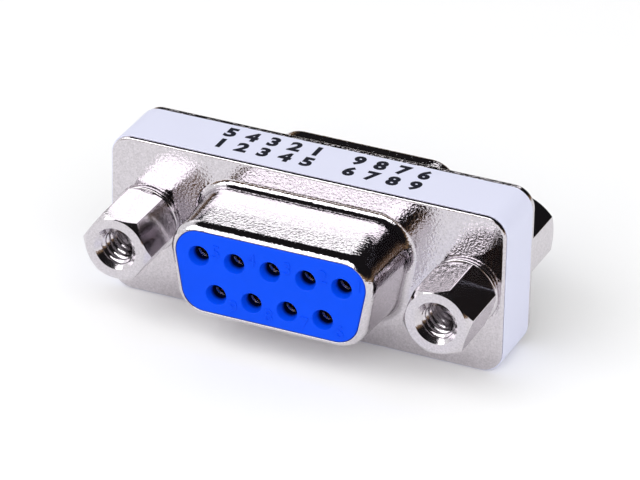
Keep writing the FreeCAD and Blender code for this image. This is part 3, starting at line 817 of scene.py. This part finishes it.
class CONNECTOR_OT_insulators(bpy.types.Operator):
    """Make the two moulded blue insulators with nine entries each"""

    bl_idname = "connector.insulators"
    bl_label = "Make insulators"

    def execute(self, context):
        shell, sizes = context.scene.shell_sizes, context.scene.insulator_sizes
        plate = plate_level()
        material = blue_plastic("insulator_blue_plastic")
        profile = entry_profile(sizes, plate, shell.sheet)
        for end in ENDS:
            points = insulator_points(shell, sizes, plate, shroud_lift(shell, end))
            faces = grid_faces(points, caps="rows")
            block = solid(f"{end}_insulator_moulded", place_end(points, end), faces)
            cut_away(block, [
                turned_tool(f"entry_{number}", profile, ENTRY_POINTS, across, up, end)
                for number, (across, up) in enumerate(contact_places(), start=1)
            ])
            shaded(block)
            seated(block, material, [f"{end}_insulator"])
        return {"FINISHED"}


def hexagon_columns(sizes):
    """Columns of a hexagon with eased corners: angle a and radius r of points round its outline.

    The corner arcs of radius e are centred at (apothem - e) / cos 30, every 60 degrees, and sweep
    60 degrees each. More points divide each flat between one arc's end and the next one's start.
    """
    apothem, ease = sizes.across_flats / 2, sizes.corner_ease
    sweep = np.radians(np.linspace(-30, 30, SMALL_ARC_POINTS))
    reach = (apothem - ease) / math.cos(math.pi / 6)
    corner = np.stack([reach + ease * np.cos(sweep), ease * np.sin(sweep)], axis=1)
    following = np.array([[0.5, -math.sqrt(3) / 2], [math.sqrt(3) / 2, 0.5]]) @ corner[0]
    share = np.arange(1, HEXAGON_FLAT_POINTS + 1)[:, None] / (HEXAGON_FLAT_POINTS + 1)
    sector = np.concatenate([corner, corner[-1] + share * (following - corner[-1])])
    angles = np.arctan2(sector[:, 1], sector[:, 0])
    radii = np.hypot(sector[:, 0], sector[:, 1])
    turns = np.arange(6)[:, None] * math.pi / 3
    return (turns + angles[None]).ravel(), np.tile(radii, 6)


def thread_depth(phase):
    """Depth of a tapped thread with worn crests: (1 + cos 2 pi p) / 2 for the phase p, which is 1
    at the root and 0 at the crest."""
    return (1 + np.cos(2 * math.pi * phase)) / 2


def tapped_hole(sizes, angles, low, high, mouth):
    """Helical rows of a tapped hole between two heights, and whole circles at its ends.

    A row at step s has z = low + pitch (s + a / 2 pi) at angle a, held between low and high. Its
    radius is minor + (major - minor) times the thread's depth, which fades in over the first part
    of a pitch, and is never less than the cone of the mouth at that height.
    """
    turns = (high - low) / sizes.pitch
    steps = np.arange(-1, turns + 1 / THREAD_ROWS, 1 / THREAD_ROWS)[:, None]
    share = angles[None] / (2 * math.pi)
    height = np.clip(low + sizes.pitch * (steps + share), low, high)
    phase = (height - low) / sizes.pitch - share
    fade = np.clip((height - low) / (THREAD_FADE * sizes.pitch), 0, 1)
    radius = sizes.minor + (sizes.major - sizes.minor) * thread_depth(phase) * fade
    cone = sizes.minor + sizes.flare - (mouth - height)
    radius = np.maximum(radius, cone)
    return np.stack([radius * np.cos(angles), radius * np.sin(angles), height], axis=2)


def jack_post_points(sizes, plate):
    """Grid of one post from the drill point out over the tapped face, down the hexagon, round the
    washer with its two rounded edges and along the stud to its tip.

    The chamfer is a cone: at radius r it lies (r - face radius) tan(slope) below the face, so its
    lower edge rises and falls with the hexagon's radius.
    """
    angles, radii = hexagon_columns(sizes)
    angles, radii = np.append(angles, angles[0] + 2 * math.pi), np.append(radii, radii[0])
    top, foot = plate + sizes.reach, plate + sizes.washer
    face_radius = sizes.across_flats / (2 * math.cos(math.pi / 6)) - sizes.chamfer_width
    around = np.stack([np.cos(angles), np.sin(angles)], axis=1)

    def ring(radius, height):
        """One row of the grid, whose radius and height may vary with the angle."""
        radius, height = np.broadcast_arrays(radius, height, angles)[:2]
        return np.concatenate([radius[:, None] * around, height[:, None]], axis=1)[None]

    drop = np.maximum(radii - face_radius, 0) * math.tan(sizes.chamfer_slope)
    narrow = np.minimum(radii, face_radius)
    floor = plate + sizes.floor
    hole = tapped_hole(sizes, angles, floor + sizes.drill_tip, top, top)
    tip = sizes.stud_gap / 2
    stud = sizes.stud_radius
    edge = sizes.washer_edge
    within = sizes.washer_radius - edge
    rim = np.concatenate([
        arc((within, foot - edge), edge, math.pi / 2, 0, SMALL_ARC_POINTS),
        arc((within, plate + edge), edge, 0, -math.pi / 2, SMALL_ARC_POINTS),
    ])
    return np.concatenate([
        ring(0, floor),
        hole,
        ring(narrow, top),
        ring(radii, top - drop),
        ring(radii, foot + drop),
        ring(narrow, foot),
        *(ring(*point) for point in rim),
        ring(stud, plate),
        ring(stud, tip + sizes.stud_chamfer),
        ring(stud - sizes.stud_chamfer, tip),
        ring(0, tip),
    ])


class CONNECTOR_OT_posts(bpy.types.Operator):
    """Make the four tapped hexagonal jack posts"""

    bl_idname = "connector.posts"
    bl_label = "Make jack posts"

    def execute(self, context):
        sizes, finish = context.scene.post_sizes, context.scene.finish_settings
        material = nickel_plate("post_nickel_plate", finish.post_roughness, finish.post_grain)
        straight = jack_post_points(sizes, plate_level())
        faces = grid_faces(straight, close_columns=False)
        for end in ENDS:
            for side, way in SIDES:
                turn = getattr(sizes, f"{end}_{side}_turn")
                spin = np.array([
                    [math.cos(turn), math.sin(turn), 0], [-math.sin(turn), math.cos(turn), 0],
                    [0, 0, 1],
                ])
                points = straight @ spin + np.array([way * SCREW_OFFSET, 0, 0])
                post = solid(f"{end}_{side}_jack_post_tapped", place_end(points, end), faces)
                shaded(post)
                seated(post, material, [f"{end}_{side}_jack_post"])
        return {"FINISHED"}


def band_points(shell, sizes):
    """Grid of the strip: its section with eased corners, swept once round the skirts' outline.

    The columns run from one edge of the seam, in the middle of the underside, to the other. Those
    of the outline that lie too near the seam are left out.
    """
    anchors, normals = box_columns(SHELL_LOW, SHELL_HIGH, shell.flange_radius, STRIP_OUTLINE)
    straight_down = -1 + 1e-9
    below = int(np.argmax(normals[:, 1] < straight_down)) + STRIP_OUTLINE["per_side"] // 2 + 1
    anchors, normals = np.roll(anchors, -below, axis=0), np.roll(normals, -below, axis=0)
    keep = (normals[:, 1] > straight_down) | (np.abs(anchors[:, 0]) > sizes.seam)
    level, half_seam = anchors[:, 1].min(), sizes.seam / 2
    anchors = np.concatenate([[(-half_seam, level)], anchors[keep], [(half_seam, level)]])
    normals = np.concatenate([[(0, -1)], normals[keep], [(0, -1)]])
    rear, front, outer = -BAND_HIGH.y, -BAND_LOW.y, sizes.thickness
    corners = [(0, rear), (outer, rear), (outer, front), (0, front)]
    profile = np.concatenate([
        eased(before, corner, after, sizes.edge_ease, STRIP_EDGE_POINTS)
        for before, corner, after in zip(corners[-1:] + corners, corners, corners[1:] + corners)
    ])
    return swept((anchors, normals), shell.flange_radius, profile)


class CONNECTOR_OT_band(bpy.types.Operator):
    """Make the pale strip round the body"""

    bl_idname = "connector.band"
    bl_label = "Make strip"

    def execute(self, context):
        points = band_points(context.scene.shell_sizes, context.scene.band_sizes)
        faces = grid_faces(points, close_rows=True, close_columns=False, caps="columns")
        band = solid("wrap_band_film", place_end(points, "front"), faces)
        shaded(band)
        seated(band, wrap_film("wrap_band_film"), ["wrap_band"])
        return {"FINISHED"}


def figure_mesh(text, weight):
    """One figure as a solid mesh, its strokes thickened by a weight, half a unit to either side.

    Three steps to a curve keep thickened strokes from crossing in their inner corners.
    """
    curve = bpy.data.curves.new("figure", "FONT")
    curve.body = text
    curve.align_x = "CENTER"
    curve.size = 1
    curve.offset = weight
    curve.extrude = 0.5
    curve.resolution_u = FIGURE_CURVE_STEPS
    holder = new_object("figure", curve)
    mesh = evaluated_mesh(holder)
    bpy.data.objects.remove(holder)
    return mesh


def figure_row(name, places, height, weight, depth, frame_of):
    """Figures at several places in one mesh.

    A figure's point (u, v, w), with v from 0 at its foot to 1 at its top, goes to
    place + height (u, v) in the plane and to depth (w + 1/2) off it, through frame_of.
    """
    points, faces = [], []
    for text, across, up in places:
        mesh = figure_mesh(text, weight / height)
        flat = np.empty(len(mesh.vertices) * 3)
        mesh.vertices.foreach_get("co", flat)
        flat = flat.reshape(-1, 3)
        foot, cap = flat[:, 1].min(), flat[:, 1].max()
        scale = height / (cap - foot)
        start = sum(len(group) for group in points)
        points.append(np.stack([
            across + scale * flat[:, 0], up + scale * (flat[:, 1] - foot),
            depth * (flat[:, 2] + 0.5),
        ], axis=1))
        faces += [[start + corner for corner in face.vertices] for face in mesh.polygons]
        bpy.data.meshes.remove(mesh)
    return solid(name, frame_of(np.concatenate(points)), faces)


class CONNECTOR_OT_figures(bpy.types.Operator):
    """Print the contact numbers on the strip and raise them on the moulded faces"""

    bl_idname = "connector.figures"
    bl_label = "Make figures"

    def execute(self, context):
        band, raised = context.scene.band_sizes, context.scene.face_figure_sizes
        lines = (("543219876", band.upper_line), ("123456789", -band.lower_line))
        spots = []
        for text, foot in lines:
            order = np.arange(CONTACTS)
            steps = order * band.figure_step + np.where(order >= LONG_ROW, band.word_gap, 0)
            steps -= steps[-1] / 2
            spots += [(figure, step, foot) for figure, step in zip(text, steps)]
        printed = figure_row(
            "wrap_band_figures", spots, band.figure_height, band.figure_weight, band.ink,
            lambda points: points + np.array([0, 0, BAND_HIGH.z]),
        )
        seated(printed, printed_ink("wrap_band_ink"))
        blue = bpy.data.materials["insulator_blue_plastic"]
        for end in ENDS:
            spots = []
            for number, (across, up) in enumerate(contact_places(), start=1):
                away = raised.away if up > 0 else -raised.away
                spots.append((str(number), across + raised.across, up + away - raised.height / 2))
            numbers = figure_row(
                f"{end}_insulator_figures", spots, raised.height, 0, raised.relief,
                lambda points: place_end(points + np.array([0, 0, FACE_LEVEL]), end),
            )
            seated(numbers, blue)
        return {"FINISHED"}


class CONNECTOR_OT_inner_parts(bpy.types.Operator):
    """Finish the contacts, retainers, board and sleeves"""

    bl_idname = "connector.inner_parts"
    bl_label = "Finish inner parts"

    def execute(self, context):
        finish = context.scene.finish_settings
        numbers = range(1, CONTACTS + 1)
        finished = (
            (board_laminate("board_laminate"), ["circuit_board"]),
            (nylon("retainer_nylon"), [f"{end}_retainer" for end in ENDS]),
            (
                turned_metal("sleeve_steel", finish.steel, roughness=0.3),
                [f"{side}_screw_sleeve" for side, _ in SIDES],
            ),
            (
                turned_metal("contact_gold_flash", finish.gold, roughness=0.22),
                [f"{end}_contact_{number}" for end in ENDS for number in numbers],
            ),
        )
        for material, names in finished:
            for node in (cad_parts[name] for name in names):
                if not node.material_slots:
                    node.data.materials.append(material)
                for holder in node.material_slots:
                    holder.material = material
        return {"FINISHED"}


def aimed(item, spot, roll=0, left=0, down=0):
    """Stands an object off the body's middle, facing it, then rolls it and shifts it sideways.

    Away from the middle is (sin a cos e, -cos a cos e, sin e) for the azimuth a and elevation e.
    Right and up are the level ones turned by the roll.
    """
    a, e = spot.azimuth, spot.elevation
    away = np.array([math.sin(a) * math.cos(e), -math.cos(a) * math.cos(e), math.sin(e)])
    level = np.cross([0, 0, 1], away)
    level /= np.linalg.norm(level)
    upright = np.cross(away, level)
    right = math.cos(roll) * level + math.sin(roll) * upright
    up = -math.sin(roll) * level + math.cos(roll) * upright
    place = np.array([0, 0, AXIS_HEIGHT]) + spot.distance * away - left * right - down * up
    matrix = np.eye(4)
    matrix[:3] = np.stack([right, up, away, place], axis=1)
    item.matrix_world = Matrix(matrix.tolist())


def softbox(name, spot, power):
    """An area lamp aimed at the body, for matt surfaces. The metal mirrors screens instead."""
    light = bpy.data.lights.new(name, "AREA")
    light.shape = "RECTANGLE"
    light.size, light.size_y = spot.width, spot.height
    light.energy = power
    lamp = new_object(name, light)
    aimed(lamp, spot)
    lamp.visible_glossy = False


def glossy_only(item):
    """Marks a stage object that only reflections in gloss see."""
    item.visible_camera = False
    item.visible_diffuse = False
    item.visible_transmission = False
    item.visible_shadow = False
    item.visible_volume_scatter = False


def glowing(name, mesh):
    """Gives a mesh a new material that only emits, and returns its tree and emission shader."""
    material = bpy.data.materials.new(name)
    material.use_nodes = True
    tree = material.node_tree
    tree.nodes.remove(tree.nodes["Principled BSDF"])
    glow = new_node(tree, "ShaderNodeEmission")
    feed(tree, tree.nodes["Material Output"], {"Surface": glow.outputs["Emission"]})
    mesh.materials.append(material)
    return tree, glow


def rectangle(name, width, height, level=0):
    """A flat rectangle about the origin, at a level."""
    corners = ((-1, -1), (1, -1), (1, 1), (-1, 1))
    mesh = bpy.data.meshes.new(name)
    mesh.from_pydata(
        [(x * width / 2, y * height / 2, level) for x, y in corners], [], [(0, 1, 2, 3)]
    )
    return new_object(name, mesh)


def screen(name, spot, strength):
    """A white screen aimed at the body, as the metal sees a light."""
    item = rectangle(name, spot.width, spot.height)
    aimed(item, spot)
    tree, glow = glowing(name, item.data)
    feed(tree, glow, {"Strength": strength})
    glossy_only(item)


def pale_world(settings):
    """White to camera, glossy and transmission rays, and an even ambient light to the others."""
    world = bpy.data.worlds.new("pale_world")
    world.use_nodes = True
    tree = world.node_tree
    ray = new_node(tree, "ShaderNodeLightPath").outputs
    seen = arithmetic(tree, "MAXIMUM", ray["Is Camera Ray"], ray["Is Glossy Ray"])
    seen = arithmetic(tree, "MAXIMUM", seen, ray["Is Transmission Ray"])
    feed(tree, tree.nodes["Background"], {
        "Color": (1, 1, 1, 1), "Strength": ranged(tree, seen, settings.ambient, 1),
    })
    bpy.context.scene.world = world


def pale_floor(settings):
    """A wide pale floor with a hardly visible mottling."""
    floor = rectangle("floor", FLOOR_WIDTH, FLOOR_WIDTH, -settings.floor_gap)
    floor.data.materials.append(mottled(
        "floor_paper", settings.floor, patch=20 * MM, detail=2, shades=(0.995, 1), roughness=1,
        specular=0,
    ))


def dark_cloth(settings):
    """A dome of dark cloth with a warm foot, as a studio flag for bright metal.

    Its point at rise t and turn a is R (cos t cos a, cos t sin a, sin t). A window on the left
    shows the pale surround in the metal, as the floor does all round.
    """
    turn = np.linspace(0, 2 * math.pi, CLOTH_COLUMNS, endpoint=False)
    rise = np.linspace(0, math.pi / 2, CLOTH_ROWS)
    profile = CLOTH_RADIUS * np.stack([np.cos(rise), np.sin(rise)], axis=1)
    points = turned(profile, turn - math.pi / 2)
    high, across = np.meshgrid(rise[:-1], turn, indexing="ij")
    beside = (across < settings.window_start) | (across > settings.window_end)
    kept = (high > settings.window_top) | beside
    faces = np.array(grid_faces(points))[kept.ravel()]
    mesh = bpy.data.meshes.new("dark_cloth")
    mesh.from_pydata(points.reshape(-1, 3).tolist(), [], faces.tolist())
    cloth = new_object("dark_cloth", mesh)
    tree, glow = glowing("dark_cloth", mesh)
    foot = ranged(tree, coordinate(tree, "Z"), 1, 0, end=settings.foot_height)
    shade = blended(tree, foot, tinted(settings.cloth), tinted(settings.cloth_foot))
    feed(tree, glow, {"Color": shade})
    glossy_only(cloth)


def new_camera(settings):
    """The camera at the photograph's viewing angle, aimed near the body's middle."""
    data = bpy.data.cameras.new("camera")
    data.sensor_width = SENSOR_WIDTH
    data.lens = settings.lens
    data.clip_start = CLIP_START
    camera = new_object("camera", data)
    aimed(camera, settings, settings.roll, settings.shift_left, settings.shift_down)
    return camera


class CONNECTOR_OT_stage(bpy.types.Operator):
    """Set the floor, the lamps and the camera"""

    bl_idname = "connector.stage"
    bl_label = "Make stage"

    def execute(self, context):
        settings = context.scene.stage_settings
        pale_world(settings)
        pale_floor(settings)
        dark_cloth(settings)
        softbox("front_softbox", FRONT_SOFTBOX, settings.key_power)
        softbox("right_fill", RIGHT_FILL, settings.fill_power)
        screen("front_screen", FRONT_SCREEN, settings.front_glow)
        screen("back_screen", BACK_SCREEN, settings.back_glow)
        context.scene.camera = new_camera(settings)
        context.scene.view_settings.view_transform = "Standard"
        return {"FINISHED"}


OPERATORS = (
    CONNECTOR_OT_shells, CONNECTOR_OT_insulators, CONNECTOR_OT_posts, CONNECTOR_OT_band,
    CONNECTOR_OT_figures, CONNECTOR_OT_inner_parts, CONNECTOR_OT_stage,
)


class CONNECTOR_PT_sidebar(bpy.types.Panel):
    """Lists the pieces and their sizes in the sidebar"""

    bl_idname = "CONNECTOR_PT_sidebar"
    bl_label = "Connector"
    bl_space_type = "VIEW_3D"
    bl_region_type = "UI"
    bl_category = "Connector"

    def draw(self, context):
        for operator in OPERATORS:
            self.layout.operator(operator.bl_idname)
        for name in SETTINGS:
            group = getattr(context.scene, name)
            box = self.layout.box()
            for setting in group.bl_rna.properties:
                if setting.identifier not in ("rna_type", "name"):
                    box.prop(group, setting.identifier)


def register():
    for name, group in SETTINGS.items():
        bpy.utils.register_class(group)
        setattr(bpy.types.Scene, name, PointerProperty(type=group))
    for item in (*OPERATORS, CONNECTOR_PT_sidebar):
        bpy.utils.register_class(item)


def unregister():
    for item in (CONNECTOR_PT_sidebar, *reversed(OPERATORS)):
        bpy.utils.unregister_class(item)
    for name, group in reversed(SETTINGS.items()):
        delattr(bpy.types.Scene, name)
        bpy.utils.unregister_class(group)


def main():
    register()
    for operator in OPERATORS:
        category, name = operator.bl_idname.split(".")
        getattr(getattr(bpy.ops, category), name)()


if __name__ == "__main__":
    main()
